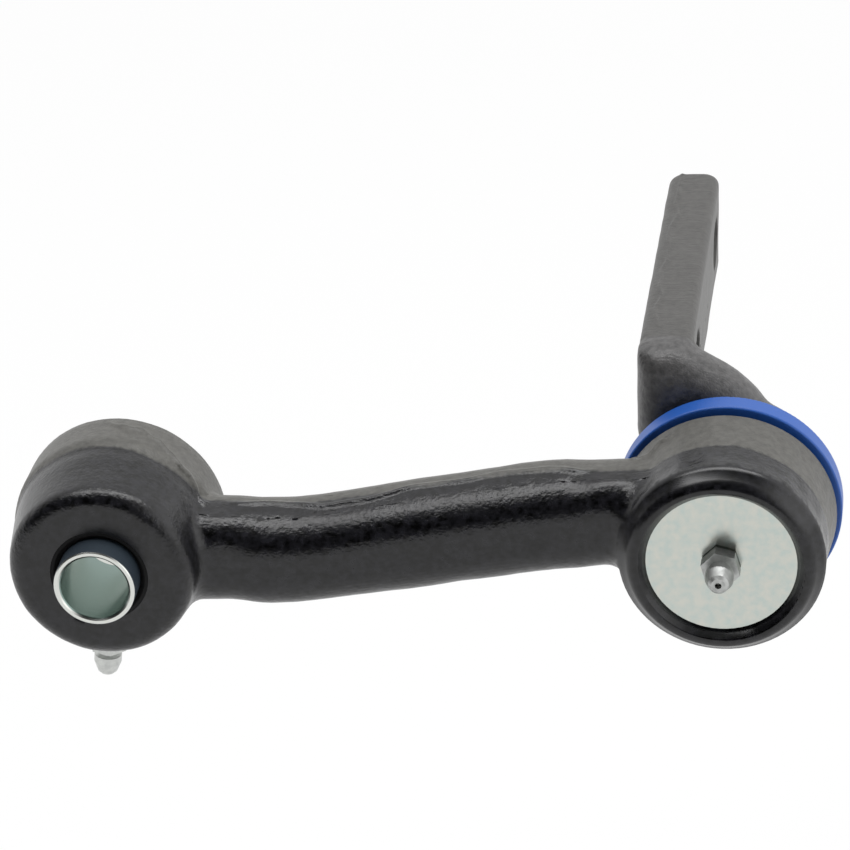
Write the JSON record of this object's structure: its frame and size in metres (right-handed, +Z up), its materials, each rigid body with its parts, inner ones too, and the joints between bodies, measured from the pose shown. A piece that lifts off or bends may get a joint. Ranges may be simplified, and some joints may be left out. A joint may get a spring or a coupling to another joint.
{
  "type": "steering idler arm",
  "caption": "Forged steering idler arm: a gently cranked arm between a pivot boss with dust seal and bolt-on frame bracket and a link boss with a steel sleeve, with grease fittings.",
  "frame": {"origin": "on the pivot axis, at the seat of the pivot grease fitting in the outer face of the cover plate", "axes": "+Y along the pivot axis from the cover plate towards the frame bracket, the arm reaches along -X to the link boss, +Z up as in the picture"},
  "size_m": [0.1935, 0.1492, 0.0704],
  "materials": {
    "black_coat": "gloss black electrocoat over forged steel",
    "zinc_plate": "satin zinc plate",
    "zinc_steel": "zinc plate",
    "hardened_steel": "ground steel",
    "spring_steel": "oiled spring steel",
    "bronze": "sintered bronze",
    "acetal": "moulded acetal",
    "blue_seal": "moulded blue elastomer",
    "black_rubber": "moulded rubber"
  },
  "bodies": {
    "bracket": {"bracket_forging": "black_coat", "dust_seal": "blue_seal", "pivot_thrust_washer": "hardened_steel", "pivot_retaining_ring": "spring_steel"},
    "arm": {"arm_forging": "black_coat", "pivot_cover_plate": "zinc_plate", "pivot_front_bush": "bronze", "pivot_rear_bush": "bronze", "pivot_disc_spring": "spring_steel", "pivot_pressure_pad": "acetal", "link_front_bush": "bronze", "link_rear_bush": "bronze", "link_front_seal": "black_rubber", "link_rear_seal": "black_rubber", "pivot_fitting_body": "zinc_steel", "pivot_fitting_spring": "spring_steel", "link_fitting_body": "zinc_steel", "link_fitting_spring": "spring_steel"},
    "sleeve": {"link_sleeve": "zinc_steel"},
    "pivot_ball": {"pivot_check_ball": "hardened_steel"},
    "link_ball": {"link_check_ball": "hardened_steel"}
  },
  "joints": [
    {"name": "arm_pivot", "type": "hinge", "parent": "bracket", "child": "arm", "pos_m": [0, 0, 0], "axis": [0, 1, 0], "continuous": true},
    {"name": "sleeve_turn", "type": "hinge", "parent": "arm", "child": "sleeve", "pos_m": [-0.1429, 0, 0], "axis": [0, 1, 0], "continuous": true},
    {"name": "pivot_check", "type": "slide", "parent": "arm", "child": "pivot_ball", "axis": [0, 1, 0], "range_m": [0, 0.0008], "stiffness_N_per_m": 60, "springref_m": -0.003, "deforming": ["pivot_fitting_spring"]},
    {"name": "link_check", "type": "slide", "parent": "arm", "child": "link_ball", "axis": [0.1495, 0, 0.9888], "range_m": [0, 0.0008], "stiffness_N_per_m": 60, "springref_m": -0.003, "deforming": ["link_fitting_spring"]}
  ]
}
